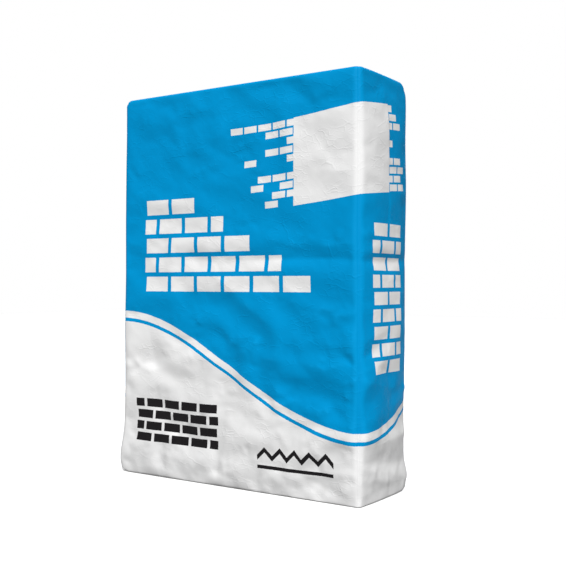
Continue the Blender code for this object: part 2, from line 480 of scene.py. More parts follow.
def crease_stars(across, up, seed, count, longest, greatest):
    """How far the creases that meet in stars stand out or in, in metres."""
    draw = np.random.default_rng(seed)
    total = np.zeros_like(across)
    for _ in range(count):
        middle = np.array([draw.uniform(0, GIRTH), BAG_HEIGHT * draw.uniform(0, 1) ** 1.25])
        first_turn, rays = draw.uniform(0, 2 * math.pi), draw.integers(3, 6)
        near = np.maximum(np.abs(across - middle[0]), np.abs(up - middle[1])) < 1.3 * longest
        for ray in range(rays):
            turn = first_turn + (ray + draw.uniform(-0.3, 0.3)) * 2 * math.pi / rays
            length = longest * draw.uniform(0.4, 1.0)
            end = middle + length * np.array([math.cos(turn), STAR_FLATNESS * math.sin(turn)])
            height = greatest * draw.uniform(0.3, 1.0) * (-1) ** ray * length / longest
            total[near] += crease(across[near], up[near], middle, end, height, STAR_REACH * length)
    return total


# Creases that show: start and end on the sheet round the bag, height out of it, reach
CREASES = (
    ((0.335, 0.470), (0.415, 0.515), 0.0012, 0.018),
    ((0.350, 0.530), (0.400, 0.462), -0.0010, 0.016),
    ((0.375, 0.440), (0.385, 0.500), 0.0008, 0.014),
    ((0.050, 0.425), (0.125, 0.430), 0.0009, 0.016),
    ((0.070, 0.455), (0.110, 0.395), -0.0008, 0.015),
    ((0.190, 0.245), (0.250, 0.205), 0.0010, 0.016),
    ((0.215, 0.180), (0.232, 0.255), -0.0009, 0.016),
    ((0.030, 0.195), (0.140, 0.140), -0.0014, 0.022),
    ((0.285, 0.190), (0.335, 0.235), 0.0011, 0.012),
    ((0.190, 0.098), (0.230, 0.070), -0.0013, 0.012),
    ((0.215, 0.105), (0.205, 0.060), 0.0009, 0.012),
    ((0.270, 0.090), (0.310, 0.076), -0.0012, 0.012),
    ((0.285, 0.100), (0.300, 0.055), 0.0008, 0.010),
    ((0.320, 0.012), (0.400, 0.024), -0.0014, 0.020),
    ((0.370, 0.150), (0.428, 0.138), -0.0010, 0.014),
    ((0.440, 0.560), (0.530, 0.590), -0.0014, 0.020),
    ((0.470, 0.540), (0.505, 0.590), 0.0009, 0.014),
    ((0.436, 0.205), (0.520, 0.180), 0.0009, 0.016),
    ((0.450, 0.060), (0.555, 0.042), -0.0012, 0.018),
)


def pressed_fold(u, v, depth, reach):
    """The long shallow fold across the front and the right panel."""
    line = FOLD_LEVEL + 0.0025 * np.sin(u * 23) + 0.004 * (1 - smooth_step(u, 0.1, 0.4))
    share = 0.25 + 0.75 * smooth_step(u, 0.12, 0.30)
    on_bag = smooth_step(u, 0.02, 0.10) * (1 - smooth_step(u, 0.54, 0.58))
    return -depth * share * on_bag * np.maximum(0, 1 - np.abs(v - line) / reach) ** 1.5


def foot_pleats(u, v):
    """Soft upright pleats where the foot spreads."""
    low = 1 - smooth_step(v, 0.030, 0.085)
    pleats = facets(u + 0.006 * swell(u, v, 0.06, 52), v / 5, 0.016, 51)
    return 0.0007 * low * pleats


def sheet_places(plain):
    """Each point's place on the flat sheet that goes round the bag: how far round, and how high."""
    x, y, z = plain.T
    front_half = x / BAG_WIDTH > y / BAG_DEPTH
    first = (x + BAG_WIDTH / 2) + (y + BAG_DEPTH / 2)
    second = GIRTH / 2 + (BAG_WIDTH / 2 - x) + (BAG_DEPTH / 2 - y)
    return np.where(front_half, first, second), z


def edge_distances(plain):
    """How far inside its panel each point lies from the nearest crease, and whether it is on an end."""
    inside = distances_inside(plain)
    return np.sort(inside, axis=1)[:, 1], inside.argmin(axis=1) == 2


def broad_relief(plain):
    """The dents, folds and creases that the whole sheet takes part in."""
    inside, on_end = edge_distances(plain)
    u, v = sheet_places(plain)
    sides = dents(u, v) + pressed_fold(u, v, FOLD_DEPTH, FOLD_REACH) + foot_pleats(u, v)
    for start, end, height, reach in CREASES:
        sides += crease(u, v, start, end, height, reach)
    sides *= smooth_step(inside, 0.001, 0.013)
    ends = 0.35 * dents(plain[:, 0] + 3, plain[:, 1] + 2) * smooth_step(inside, 0.001, END_DISH_REACH)
    ends[plain[:, 2] < SACK_MIDDLE] = 0.0
    return np.where(on_end, ends, sides)


def fine_relief(plain):
    """The sharp creases and small crinkles of the paper itself, and the dish of the ends."""
    inside, on_end = edge_distances(plain)
    u, v = sheet_places(plain)
    sides = crinkles(u, v) + pressed_fold(u, v, FOLD_LINE_DEPTH, FOLD_LINE_REACH)
    lively = 0.8 + 0.7 * (1 - smooth_step(v, 0.12, 0.32))
    for star in CREASE_STARS:
        sides += lively * crease_stars(u, v, *star)
    ends = 0.5 * crinkles(plain[:, 0] + 3, plain[:, 1] + 2) - END_DISH
    return np.where(on_end, ends, sides) * smooth_step(inside, 0.001, END_DISH_REACH)


def looseness(plain):
    """How much spare paper there is at each point: 1 where it crumples most."""
    _, on_end = edge_distances(plain)
    u, v = sheet_places(plain)
    low = 1 - smooth_step(v, 0.12, 0.34)
    on_narrow = smooth_step(np.abs(plain[:, 0]), BAG_WIDTH / 2 - 0.012, BAG_WIDTH / 2)
    patches = smooth_step(swell(u, v, 0.16, 71), -1.2, 1.2)
    return np.where(on_end, 0.1, (0.3 + 0.7 * low) * (0.5 + 0.5 * patches) * (1 - 0.5 * on_narrow))


def weigh_points(piece, name, shares):
    """Keeps a share for each point as a vertex group."""
    group = piece.vertex_groups.new(name=name)
    for share in np.unique(shares):
        group.add(np.flatnonzero(shares == share).tolist(), float(share), "REPLACE")
    return group.name


def let_settle(sheet, plain):
    """Runs the spare paper's buckling between its creases, over the powder that holds it up."""
    inside, on_end = edge_distances(plain)
    held = 1 - (1 - HOLD_INSIDE) * smooth_step(inside, 0.0, HOLD_REACH)
    held[on_end & (plain[:, 2] < SACK_MIDDLE)] = 1.0
    paper = sheet.modifiers.new("paper", "CLOTH")
    cloth = paper.settings
    cloth.quality = 5
    cloth.tension_stiffness = cloth.compression_stiffness = PAPER_STIFFNESS
    cloth.shear_stiffness = PAPER_STIFFNESS / 2
    cloth.bending_stiffness = PAPER_BENDING
    cloth.air_damping = 2.0
    cloth.use_pressure = True
    cloth.uniform_pressure_force = POWDER_PRESSURE
    cloth.vertex_group_mass = weigh_points(sheet, "held", np.round(held, 2))
    cloth.vertex_group_shrink = weigh_points(sheet, "tight", np.round(1 - looseness(plain), 2))
    cloth.shrink_max = -LEAST_GROWTH
    cloth.shrink_min = -MOST_GROWTH
    cloth.effector_weights.gravity = 0.0
    paper.collision_settings.use_collision = False
    paper.point_cache.frame_start = 1
    paper.point_cache.frame_end = SETTLING_FRAMES
    for moment in range(1, SETTLING_FRAMES + 1):
        bpy.context.scene.frame_set(moment)
    apply_modifier(sheet, paper)
    bpy.context.scene.frame_set(1)


def buckles(skin):
    """How far the crumpled paper lies from the smooth filled form at each point of the skin's net."""
    plain = places_of(skin)
    sheet = skin.copy()
    sheet.data = skin.data.copy()
    bpy.context.scene.collection.objects.link(sheet)
    smooth_form = filled_places(plain)
    place_all(sheet, smooth_form)
    start = normals_of(sheet) * broad_relief(plain)[:, None]
    place_all(sheet, smooth_form + BUCKLE_START * start)
    let_settle(sheet, plain)
    moved = places_of(sheet) - smooth_form
    edges = edges_of(sheet)
    soft = moved
    for _ in range(2):
        soft = averaged(soft, edges)
    moved = moved + BUCKLE_CRISPNESS * (moved - soft)
    length = np.maximum(np.linalg.norm(moved, axis=1), 1e-9)
    bpy.data.objects.remove(sheet)
    return moved * (BUCKLE_LIMIT * np.tanh(length / BUCKLE_LIMIT) / length)[:, None]


def edge_wander(plain):
    """How the upright creases stray from straight lines, sideways, as filled paper does."""
    x, y, z = plain.T
    near = 1 - smooth_step(np.minimum(BAG_WIDTH / 2 - np.abs(x), 0.05), 0.0, 0.03)
    fade = smooth_step(z, 0.02, 0.08) * (1 - smooth_step(z, 0.52, 0.585))
    sideways = 0.0006 * swell(z + np.sign(y) * 0.4, np.sign(x), 0.16, 61)
    notch = np.exp(-(((z - FOLD_LEVEL) / 0.010) ** 2)) * 0.0006 * (x > 0)
    wander = np.zeros_like(plain)
    wander[:, 0] = near * fade * (sideways - notch)
    return wander


def averaged(values, edges):
    """Each point's values, averaged with those of its neighbours."""
    values = values.reshape(len(values), -1)
    count = np.maximum(np.bincount(edges.ravel(), minlength=len(values)), 1)
    total = values * count[:, None]
    for column in range(values.shape[1]):
        total[:, column] += np.bincount(edges[:, 0], values[edges[:, 1], column], len(values))
        total[:, column] += np.bincount(edges[:, 1], values[edges[:, 0], column], len(values))
    return total / (2 * count)[:, None]


def ridge_shares(piece):
    """How sharply a panel bends outwards at each point, from 0 to 1, evened out along the ridges."""
    places, edges = places_of(piece), edges_of(piece)
    shares = ((places - averaged(places, edges)) * normals_of(piece)).sum(axis=1)
    shares = averaged(shares, edges)[:, 0]
    inside, _ = edge_distances(kept_vectors(piece, "plain"))
    on_panel = smooth_step(inside, RIDGE_EDGE, 4 * RIDGE_EDGE)
    return smooth_step(shares, RIDGE_LOW, RIDGE_HIGH) * on_panel


def keep_shares(piece, name, shares):
    kept = piece.data.attributes.new(name, "FLOAT", "POINT")
    kept.data.foreach_set("value", shares.astype(np.float32))


def lay_print_map(piece):
    """The print's map: metres round the bag and metres up it, over the ends past their creases."""
    plain = kept_vectors(piece, "plain")
    u_first = (plain[:, 0] + BAG_WIDTH / 2) + (plain[:, 1] + BAG_DEPTH / 2)
    u_second = GIRTH / 2 + (BAG_WIDTH / 2 - plain[:, 0]) + (BAG_DEPTH / 2 - plain[:, 1])
    from_sides = np.minimum(BAG_WIDTH / 2 - np.abs(plain[:, 0]), BAG_DEPTH / 2 - np.abs(plain[:, 1]))
    outwards = np.sign(plain[:, 2] - SACK_MIDDLE)
    from_end = (SACK_TOP - SACK_BASE) / 2 - np.abs(plain[:, 2] - SACK_MIDDLE)
    over = np.where(from_end < from_sides, from_sides - from_end, 0.0)
    v = plain[:, 2] + outwards * over

    corners, owner, counts = corners_of(piece)
    lean = plain[:, 0] / BAG_WIDTH - plain[:, 1] / BAG_DEPTH
    face_lean = np.bincount(owner, lean[corners], len(counts)) / counts
    u = np.where(face_lean[owner] > 0, u_first[corners], u_second[corners])
    flat = np.stack([u, v[corners]], axis=1).astype(np.float32)
    while piece.data.uv_layers:
        piece.data.uv_layers.remove(piece.data.uv_layers[0])
    layer = piece.data.uv_layers.new(name="print")
    layer.uv.foreach_set("vector", flat.ravel())


def new_finish(name, colour, roughness):
    material = bpy.data.materials.new(name)
    material.use_nodes = True
    material.diffuse_color = (*colour, 1)
    tree = material.node_tree
    shader = tree.nodes["Principled BSDF"]
    shader.inputs["Base Color"].default_value = (*colour, 1)
    shader.inputs["Roughness"].default_value = roughness
    return material, tree, shader


def feed(tree, socket, value):
    if isinstance(value, bpy.types.NodeSocket):
        tree.links.new(value, socket)
    elif isinstance(value, tuple) and len(value) == 3 and socket.type == "RGBA":
        socket.default_value = (*value, 1)
    else:
        socket.default_value = value


def sum_of(tree, operation, *values):
    node = tree.nodes.new("ShaderNodeMath")
    node.operation = operation
    for socket, value in zip(node.inputs, values):
        feed(tree, socket, value)
    return node.outputs[0]


def ramp(tree, value, start, end, first=0.0, last=1.0):
    node = tree.nodes.new("ShaderNodeMapRange")
    names = ("Value", "From Min", "From Max", "To Min", "To Max")
    for name, number in zip(names, (value, start, end, first, last)):
        feed(tree, node.inputs[name], number)
    return node.outputs["Result"]


def mixed(tree, share, first, second, way="MIX"):
    node = tree.nodes.new("ShaderNodeMix")
    node.data_type = "RGBA"
    node.blend_type = way
    feed(tree, node.inputs[0], share)
    feed(tree, node.inputs[6], first)
    feed(tree, node.inputs[7], second)
    return node.outputs[2]


def object_places(tree, scale=(1, 1, 1)):
    coordinates = tree.nodes.new("ShaderNodeTexCoord")
    mapping = tree.nodes.new("ShaderNodeMapping")
    mapping.inputs["Scale"].default_value = scale
    tree.links.new(coordinates.outputs["Object"], mapping.inputs["Vector"])
    return mapping.outputs["Vector"]


def noise(tree, places, scale, detail=2.0, roughness=0.5):
    node = tree.nodes.new("ShaderNodeTexNoise")
    feed(tree, node.inputs["Vector"], places)
    node.inputs["Scale"].default_value = scale
    node.inputs["Detail"].default_value = detail
    node.inputs["Roughness"].default_value = roughness
    return node.outputs["Fac"]


def bumped(tree, height, distance, strength=1.0, below=None):
    node = tree.nodes.new("ShaderNodeBump")
    node.inputs["Distance"].default_value = distance
    node.inputs["Strength"].default_value = strength
    feed(tree, node.inputs["Height"], height)
    if below is not None:
        tree.links.new(below, node.inputs["Normal"])
    return node.outputs["Normal"]


def crinkle_lines(tree, places, cells, width):
    """Thin lines between cells, as crumpling leaves in paper: 1 on a line and 0 off it."""
    lines = tree.nodes.new("ShaderNodeTexVoronoi")
    lines.feature = "DISTANCE_TO_EDGE"
    lines.inputs["Scale"].default_value = cells
    tree.links.new(places, lines.inputs["Vector"])
    return ramp(tree, lines.outputs["Distance"], 0.0, width * cells, 1.0, 0.0)


def paper_surface(tree, shader):
    """Fibres, fine crinkles and crease lines, as relief."""
    places = object_places(tree, (1, 1, 1.5))
    fibres = noise(tree, object_places(tree, (1, 1, 0.45)), 1400, 3, 0.6)
    bent = tree.nodes.new("ShaderNodeVectorMath")
    bent.operation = "MULTIPLY_ADD"
    stray = tree.nodes.new("ShaderNodeTexNoise")
    tree.links.new(places, stray.inputs["Vector"])
    stray.inputs["Scale"].default_value = 40
    stray.inputs["Detail"].default_value = 3
    tree.links.new(stray.outputs["Color"], bent.inputs[0])
    bent.inputs[1].default_value = (0.016, 0.016, 0.016)
    tree.links.new(places, bent.inputs[2])
    small = crinkle_lines(tree, bent.outputs[0], 75, 0.0013)
    small = sum_of(tree, "MULTIPLY", small, ramp(tree, noise(tree, places, 34, 2), 0.46, 0.70))
    large = crinkle_lines(tree, bent.outputs[0], 24, 0.0018)
    large = sum_of(tree, "MULTIPLY", large, ramp(tree, noise(tree, places, 26, 2), 0.48, 0.72))
    lower = bumped(tree, large, 0.00020)
    middle = bumped(tree, small, 0.00018, 1.0, lower)
    upper = bumped(tree, fibres, 0.00006, 0.8, middle)
    tree.links.new(upper, shader.inputs["Normal"])
    return sum_of(tree, "MAXIMUM", small, large)


def masonry(tree, around, height, left, low, brick, course, gap):
    """Running bond: whether a point is on a brick, the brick's own number from 0 to 1, its middle."""
    across = sum_of(tree, "SUBTRACT", around, left)
    up = sum_of(tree, "SUBTRACT", height, low - course)
    combined = tree.nodes.new("ShaderNodeCombineXYZ")
    feed(tree, combined.inputs[0], across)
    feed(tree, combined.inputs[1], up)
    bricks = tree.nodes.new("ShaderNodeTexBrick")
    tree.links.new(combined.outputs[0], bricks.inputs["Vector"])
    bricks.inputs["Color1"].default_value = (0, 0, 0, 1)
    bricks.inputs["Color2"].default_value = (1, 1, 1, 1)
    bricks.inputs["Mortar"].default_value = (0, 0, 0, 1)
    bricks.inputs["Scale"].default_value = 1.0
    bricks.inputs["Mortar Size"].default_value = gap / 2
    bricks.inputs["Mortar Smooth"].default_value = 0.0
    bricks.inputs["Bias"].default_value = 0.0
    bricks.inputs["Brick Width"].default_value = brick
    bricks.inputs["Row Height"].default_value = course
    on_brick = sum_of(tree, "SUBTRACT", 1.0, bricks.outputs["Fac"])
    row = sum_of(tree, "FLOOR", sum_of(tree, "DIVIDE", up, course))
    odd = sum_of(tree, "FLOORED_MODULO", row, 2.0)
    shift = sum_of(tree, "MULTIPLY_ADD", odd, -0.5, 0.5)
    number = sum_of(tree, "FLOOR", sum_of(tree, "ADD", sum_of(tree, "DIVIDE", across, brick), shift))
    middle = sum_of(tree, "SUBTRACT", sum_of(tree, "ADD", number, 0.5), shift)
    middle = sum_of(tree, "MULTIPLY_ADD", middle, brick, left)
    return on_brick, bricks.outputs["Color"], middle


def panel_box(tree, around, height, left, right, low, high):
    """Whether a point is inside an upright rectangle."""
    sideways = sum_of(tree, "COMPARE", around, (left + right) / 2, (right - left) / 2)
    upwards = sum_of(tree, "COMPARE", height, (low + high) / 2, (high - low) / 2)
    return sum_of(tree, "MULTIPLY", sideways, upwards)


def any_of(tree, *shares):
    total = shares[0]
    for share in shares[1:]:
        total = sum_of(tree, "MAXIMUM", total, share)
    return total


def printed_white(tree, around, height):
    """Where the sheet is left white between the blue ink."""
    turn = sum_of(tree, "MULTIPLY", around, math.pi / BAG_WIDTH)
    shore = sum_of(tree, "MULTIPLY_ADD", sum_of(tree, "COSINE", turn), SHORE_SWING, SHORE_LEVEL)
    low_field = sum_of(tree, "LESS_THAN", height, shore)
    under_shore = sum_of(tree, "SUBTRACT", shore, STRIPE_DROP)
    stripe = sum_of(tree, "COMPARE", height, under_shore, STRIPE_HEIGHT / 2)
    low_field = sum_of(tree, "SUBTRACT", low_field, stripe)

    level = sum_of(tree, "MULTIPLY_ADD", sum_of(tree, "SINE", turn), BELT_ARCH, height)
    belt = sum_of(tree, "COMPARE", level, BELT_LEVEL, BELT_HEIGHT / 2)
    low = BELT_LEVEL - BELT_HEIGHT / 2
    on_brick, lot, middle = masonry(tree, around, level, 0.0, low, 0.025, 0.0125, 0.003)
    front_part = ramp(tree, middle, BELT_FIRST_BRICK, BELT_LEFT, 0.0, 1.0)
    side_part = ramp(tree, middle, BELT_RIGHT, BELT_LAST_BRICK, 1.0, 0.0)
    stays = sum_of(tree, "LESS_THAN", lot, sum_of(tree, "MINIMUM", front_part, side_part))
    stays = sum_of(tree, "MULTIPLY", on_brick, stays)
    plain_part = sum_of(
        tree, "COMPARE", around, (BELT_LEFT + BELT_RIGHT) / 2, (BELT_RIGHT - BELT_LEFT) / 2
    )
    belt = sum_of(tree, "MULTIPLY", belt, any_of(tree, plain_part, stays))

    left, low, brick, course = 0.045, 0.288, 0.052, 0.030
    on_brick, _, _ = masonry(tree, around, height, left, low, brick, course, 0.007)
    steps = [
        panel_box(tree, around, height, left, left + brick * (6 - step), low, low + course * (step + 1))
        for step in range(5)
    ]
    stairs = sum_of(tree, "MULTIPLY", on_brick, any_of(tree, *steps))

    left, low, brick, course = BAG_WIDTH + 0.028, 0.175, 0.042, 0.024
    on_brick, _, _ = masonry(tree, around, height, left, low, brick, course, 0.006)
    column = panel_box(tree, around, height, left, left + 2 * brick, low, low + 9 * course)
    column = sum_of(tree, "MULTIPLY", on_brick, column)
    return any_of(tree, low_field, belt, stairs, column)


def printed_black(tree, around, height):
    """Black figures in the low white field: courses of bricks, and a zigzag over a rule."""
    left, low, brick, course = 0.030, 0.052, 0.036, 0.018
    on_brick, _, _ = masonry(tree, around, height, left, low, brick, course, 0.005)
    bricks = panel_box(tree, around, height, left, left + 4.5 * brick, low, low + 4 * course)
    bricks = sum_of(tree, "MULTIPLY", on_brick, bricks)

    from_left = sum_of(tree, "SUBTRACT", around, ZIGZAG_LEFT)
    wave = sum_of(tree, "PINGPONG", from_left, ZIGZAG_STEP)
    zigzag = sum_of(tree, "COMPARE", height, sum_of(tree, "ADD", wave, ZIGZAG_LEVEL), 0.004)
    field = panel_box(tree, around, height, ZIGZAG_LEFT, ZIGZAG_RIGHT, 0.04, 0.08)
    zigzag = sum_of(tree, "MULTIPLY", zigzag, field)
    rule = panel_box(tree, around, height, ZIGZAG_LEFT, ZIGZAG_RIGHT, 0.036, 0.041)
    return any_of(tree, bricks, zigzag, rule)


def make_printed_paper():
    material, tree, shader = new_finish("printed_paper", WHITE_PAPER, 0.55)
    sheet = tree.nodes.new("ShaderNodeUVMap")
    sheet.uv_map = "print"
    split = tree.nodes.new("ShaderNodeSeparateXYZ")
    tree.links.new(sheet.outputs["UV"], split.inputs[0])
    places = object_places(tree)
    creep = noise(tree, places, 420, 2)
    creep = sum_of(tree, "MULTIPLY_ADD", creep, 0.0008, -0.0004)
    around = sum_of(tree, "ADD", split.outputs[0], creep)
    around = sum_of(tree, "FLOORED_MODULO", around, PRINT_REPEAT)
    height = sum_of(tree, "ADD", split.outputs[1], creep)

    white = printed_white(tree, around, height)
    over_end = sum_of(tree, "GREATER_THAN", height, SACK_TOP + PRINT_OVERLAP)
    under_end = sum_of(tree, "LESS_THAN", height, SACK_BASE - PRINT_OVERLAP)
    blue = sum_of(tree, "SUBTRACT", 1.0, any_of(tree, white, over_end, under_end))

    fine = paper_surface(tree, shader)
    mottle = ramp(tree, noise(tree, places, 9, 5, 0.6), 0.25, 0.75)
    cloud = ramp(tree, noise(tree, places, 160, 3, 0.6), 0.3, 0.7)
    paper = mixed(tree, mottle, (0.775, 0.775, 0.775), (0.815, 0.815, 0.815))
    ink = mixed(tree, mottle, (0.0, 0.262, 0.570), (0.0, 0.288, 0.62))
    ink = mixed(tree, sum_of(tree, "MULTIPLY", cloud, 0.5), ink, BLUE_INK)

    # Painted highlight, partly rubbed ink: the blue turns lighter along outward ridges and crinkle lines
    ridge = tree.nodes.new("ShaderNodeAttribute")
    ridge.attribute_name = "ridge"
    specks = ramp(tree, noise(tree, places, 500, 3, 0.7), 0.3, 0.7, 0.3, 1.0)
    highlight_and_rub = sum_of(tree, "MULTIPLY", ridge.outputs["Fac"], specks)
    highlight_and_rub = sum_of(tree, "ADD", highlight_and_rub, sum_of(tree, "MULTIPLY", fine, 0.08))
    ink = mixed(tree, sum_of(tree, "MULTIPLY", highlight_and_rub, 0.6), ink, HIGHLIGHT_AND_RUBBED_INK)
    colour = mixed(tree, blue, paper, ink)
    black = printed_black(tree, around, height)
    colour = mixed(tree, black, colour, BLACK_INK)
    # Painted shade: the sheet darkens in patches towards the floor, below 0.2 m
    painted_low_shade = ramp(tree, noise(tree, places, 26, 5, 0.65), 0.35, 0.65, 0.3, 1.0)
    painted_low_shade = sum_of(tree, "MULTIPLY", painted_low_shade, ramp(tree, height, 0.20, 0.02))
    colour = mixed(tree, painted_low_shade, colour, (0.85, 0.85, 0.85), "MULTIPLY")
    tree.links.new(colour, shader.inputs["Base Color"])
    gloss = ramp(tree, noise(tree, places, 60, 3), 0.3, 0.7, 0.48, 0.60)
    tree.links.new(gloss, shader.inputs["Roughness"])
    shader.inputs["Specular IOR Level"].default_value = 0.05
    return material


def make_patch_paper():
    material, tree, shader = new_finish("patch_paper", WHITE_PAPER, 0.7)
    places = object_places(tree)
    paper_surface(tree, shader)
    mottle = ramp(tree, noise(tree, places, 14, 5, 0.6), 0.25, 0.75)
    colour = mixed(tree, mottle, (0.60, 0.60, 0.59), (0.67, 0.67, 0.66))
    dust = ramp(tree, noise(tree, places, 70, 6, 0.7), 0.55, 0.75, 0.0, 0.35)
    colour = mixed(tree, dust, colour, (0.50, 0.495, 0.48))
    tree.links.new(colour, shader.inputs["Base Color"])
    shader.inputs["Specular IOR Level"].default_value = 0.2
    return material


def make_sleeve_paper():
    material, tree, shader = new_finish("sleeve_paper", (0.42, 0.28, 0.16), 0.75)
    streaks = noise(tree, object_places(tree, (1, 0.15, 1)), 900, 4, 0.7)
    colour = mixed(tree, ramp(tree, streaks, 0.3, 0.7), (0.36, 0.23, 0.125), (0.48, 0.33, 0.19))
    tree.links.new(colour, shader.inputs["Base Color"])
    tree.links.new(bumped(tree, streaks, 0.0001, 0.7), shader.inputs["Normal"])
    shader.inputs["Specular IOR Level"].default_value = 0.2
    return material


def make_cement():
    material, tree, shader = new_finish("cement", (0.70, 0.69, 0.66), 0.95)
    places = object_places(tree)
    grain = noise(tree, places, 900, 6, 0.75)
    clods = noise(tree, places, 60, 4, 0.6)
    colour = mixed(tree, ramp(tree, clods, 0.3, 0.7), (0.63, 0.62, 0.59), (0.73, 0.72, 0.69))
    tree.links.new(colour, shader.inputs["Base Color"])
    lower = bumped(tree, clods, 0.002, 0.6)
    tree.links.new(bumped(tree, grain, 0.0004, 0.8, lower), shader.inputs["Normal"])
    return material


def dress(piece, material):
    piece.data.materials.clear()
    piece.data.materials.append(material)
    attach(piece, "root")


def make_sack_skin(paper):
    """The printed outside of the filled sack, as one closed sheet."""
    skin = box_grid("sack_skin", WIDTH_CELLS, DEPTH_CELLS, HEIGHT_CELLS)
    keep_vectors(skin, "buckle", buckles(skin))
    finer = skin.modifiers.new("finer", "SUBSURF")
    finer.levels = finer.render_levels = 1
    apply_modifier(skin, finer)
    plain = places_of(skin)
    keep_vectors(skin, "plain", plain)
    moved = averaged(kept_vectors(skin, "buckle"), edges_of(skin))
    place_all(skin, filled_places(plain) + moved)
    places = places_of(skin) + normals_of(skin) * fine_relief(plain)[:, None]
    places += edge_wander(plain)
    places[:, 2] = np.maximum(places[:, 2], FLOOR_ROOM)
    place_all(skin, places)
    keep_shares(skin, "ridge", ridge_shares(skin))
    lay_print_map(skin)
    skin.data.shade_smooth()
    dress(skin, paper)
    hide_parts("paper_sack")
    return skin


def make_cement_core(cement):
    """The settled powder inside the paper, clear of its dents, with a level top."""
    core = box_grid("cement_core", *CORE_CELLS)
    middle = np.array([0, 0, SACK_MIDDLE])
    sides = np.array([BAG_WIDTH, BAG_DEPTH, SACK_TOP - SACK_BASE])
    from_middle = filled_places(places_of(core)) - middle
    place_all(core, middle + from_middle * (1 - 2 * CORE_INSET / sides))
    pick_up(core)
    bpy.ops.object.mode_set(mode="EDIT")
    bpy.ops.mesh.select_all(action="SELECT")
    bpy.ops.mesh.bisect(
        plane_co=(0, 0, CORE_TOP), plane_no=(0, 0, 1), use_fill=True, clear_outer=True
    )
    put_down()
    core.data.shade_smooth()
    dress(core, cement)
    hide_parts("cement_fill")
    return core


def cut_from_skin(name, skin, wanted, planes, lift, thickness):
    """A thin sheet that follows the skin: the wanted faces, cut along planes and raised."""
    put_down()
    sheet = skin.copy()
    sheet.data = skin.data.copy()
    for key in [key for key in sheet.keys() if key.startswith("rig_")]:
        del sheet[key]
    sheet.parent = None
    sheet.name = sheet.data.name = name
    bpy.context.scene.collection.objects.link(sheet)
    select_faces(sheet, ~wanted(plain_face_middles(sheet)))
    bpy.ops.mesh.delete(type="FACE")
    for point, outwards in planes:
        bpy.ops.mesh.select_all(action="SELECT")
        bpy.ops.mesh.bisect(plane_co=point, plane_no=outwards, clear_outer=True)
    put_down()
    raised = normals_of(sheet) * lift(kept_vectors(sheet, "plain"))[:, None]
    place_all(sheet, places_of(sheet) + raised)
    wall = sheet.modifiers.new("wall", "SOLIDIFY")
    wall.thickness = thickness
    wall.offset = -1.0
    apply_modifier(sheet, wall)
    return sheet


def plain_face_middles(piece):
    plain = kept_vectors(piece, "plain")
    corners, owner, counts = corners_of(piece)
    sums = [np.bincount(owner, plain[corners, axis], len(counts)) for axis in range(3)]
    return np.stack(sums, axis=1) / counts[:, None]


def sharpen(piece):
    pick_up(piece)
    bpy.ops.object.shade_smooth_by_angle(angle=SHARP_ANGLE)


def on_flap(plain):
    """How much of a long flap lies over each point of an end: 1 between its slanting ends."""
    x, y, _ = plain.T
    slant = (BAG_WIDTH / 2 - np.abs(x)) - (BAG_DEPTH / 2 - np.abs(y))
    return smooth_step(slant, -0.001, 0.003)


def top_faces(middles):
    return middles[:, 2] > SACK_TOP - PANEL_MARGIN


def bottom_faces(middles):
    return middles[:, 2] < SACK_BASE + PANEL_MARGIN


def back_faces(middles):
    return middles[:, 1] > BAG_DEPTH / 2 - PANEL_MARGIN


def under_flap_lift(plain):
    """How far the long flap that is folded first stands off the skin."""
    inside, _ = edge_distances(plain)
    return PASTE_GAP + FLAP_LIFT * smooth_step(inside, 0.0, FLAP_RISE)


def upper_flap_lift(plain):
    """How far the long flap that is folded last stands off, over the edge of the other one too."""
    over_other = smooth_step(plain[:, 1], -FLAP_OVERLAP - FLAP_STEP, -FLAP_OVERLAP)
    return under_flap_lift(plain) + FLAP_LIFT * over_other


def make_end_folds(skin, paper):
    """The two long flaps of each end, the front one folded over the back one."""
    half_width, half_depth = BAG_WIDTH / 2, BAG_DEPTH / 2
    for end, end_faces in (("top", top_faces), ("bottom", bottom_faces)):
        for side, outwards, lift in (("front", -1, upper_flap_lift), ("back", 1, under_flap_lift)):
            corner_y = outwards * half_depth
            planes = [
                ((0, -outwards * FLAP_OVERLAP, 0), (0, -outwards, 0)),
                ((half_width, corner_y, 0), (1, -outwards, 0)),
                ((-half_width, corner_y, 0), (-1, -outwards, 0)),
            ]
            flap = cut_from_skin(f"{end}_{side}_flap", skin, end_faces, planes, lift, FLAP_PAPER)
            sharpen(flap)
            dress(flap, paper)


def cover_lift(plain):
    """How far the cover sheet stands off the skin, over the flaps under it."""
    overlap = 1 - smooth_step(np.abs(plain[:, 1]), FLAP_OVERLAP, FLAP_OVERLAP + COVER_STEP)
    return FLAP_LIFT * on_flap(plain) * (1 + overlap) + COVER_LIFT


def make_top_patch(skin, patch_paper):
    half_width, half_depth = PATCH_WIDTH / 2, PATCH_DEPTH / 2
    planes = [((sign * half_width, 0, 0), (sign, 0, 0)) for sign in (-1, 1)]
    planes += [((0, sign * half_depth, 0), (0, sign, 0)) for sign in (-1, 1)]
    cut = PATCH_CORNER / 2
    planes += [
        ((along * (half_width - cut), deep * (half_depth - cut), 0), (along, deep, 0))
        for along in (-1, 1) for deep in (-1, 1)
    ]
    patch = cut_from_skin("top_cover", skin, top_faces, planes, cover_lift, PATCH_PAPER)
    sharpen(patch)
    dress(patch, patch_paper)
    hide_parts("top_patch")


def seam_lift(plain):
    """How far the seam's lapped edge stands off the skin, from its root to its free edge."""
    return PASTE_GAP + SEAM_LIFT * smooth_step(plain[:, 0], SEAM_LEFT, SEAM_RIGHT - SEAM_EDGE)


def make_tube_seam(skin, paper):
    """The free edge of the tube's pasted seam, up the back panel."""
    planes = [
        ((SEAM_LEFT, 0, 0), (-1, 0, 0)),
        ((SEAM_RIGHT, 0, 0), (1, 0, 0)),
    ]
    seam = cut_from_skin("tube_seam", skin, back_faces, planes, seam_lift, SEAM_PAPER)
    sharpen(seam)
    dress(seam, paper)


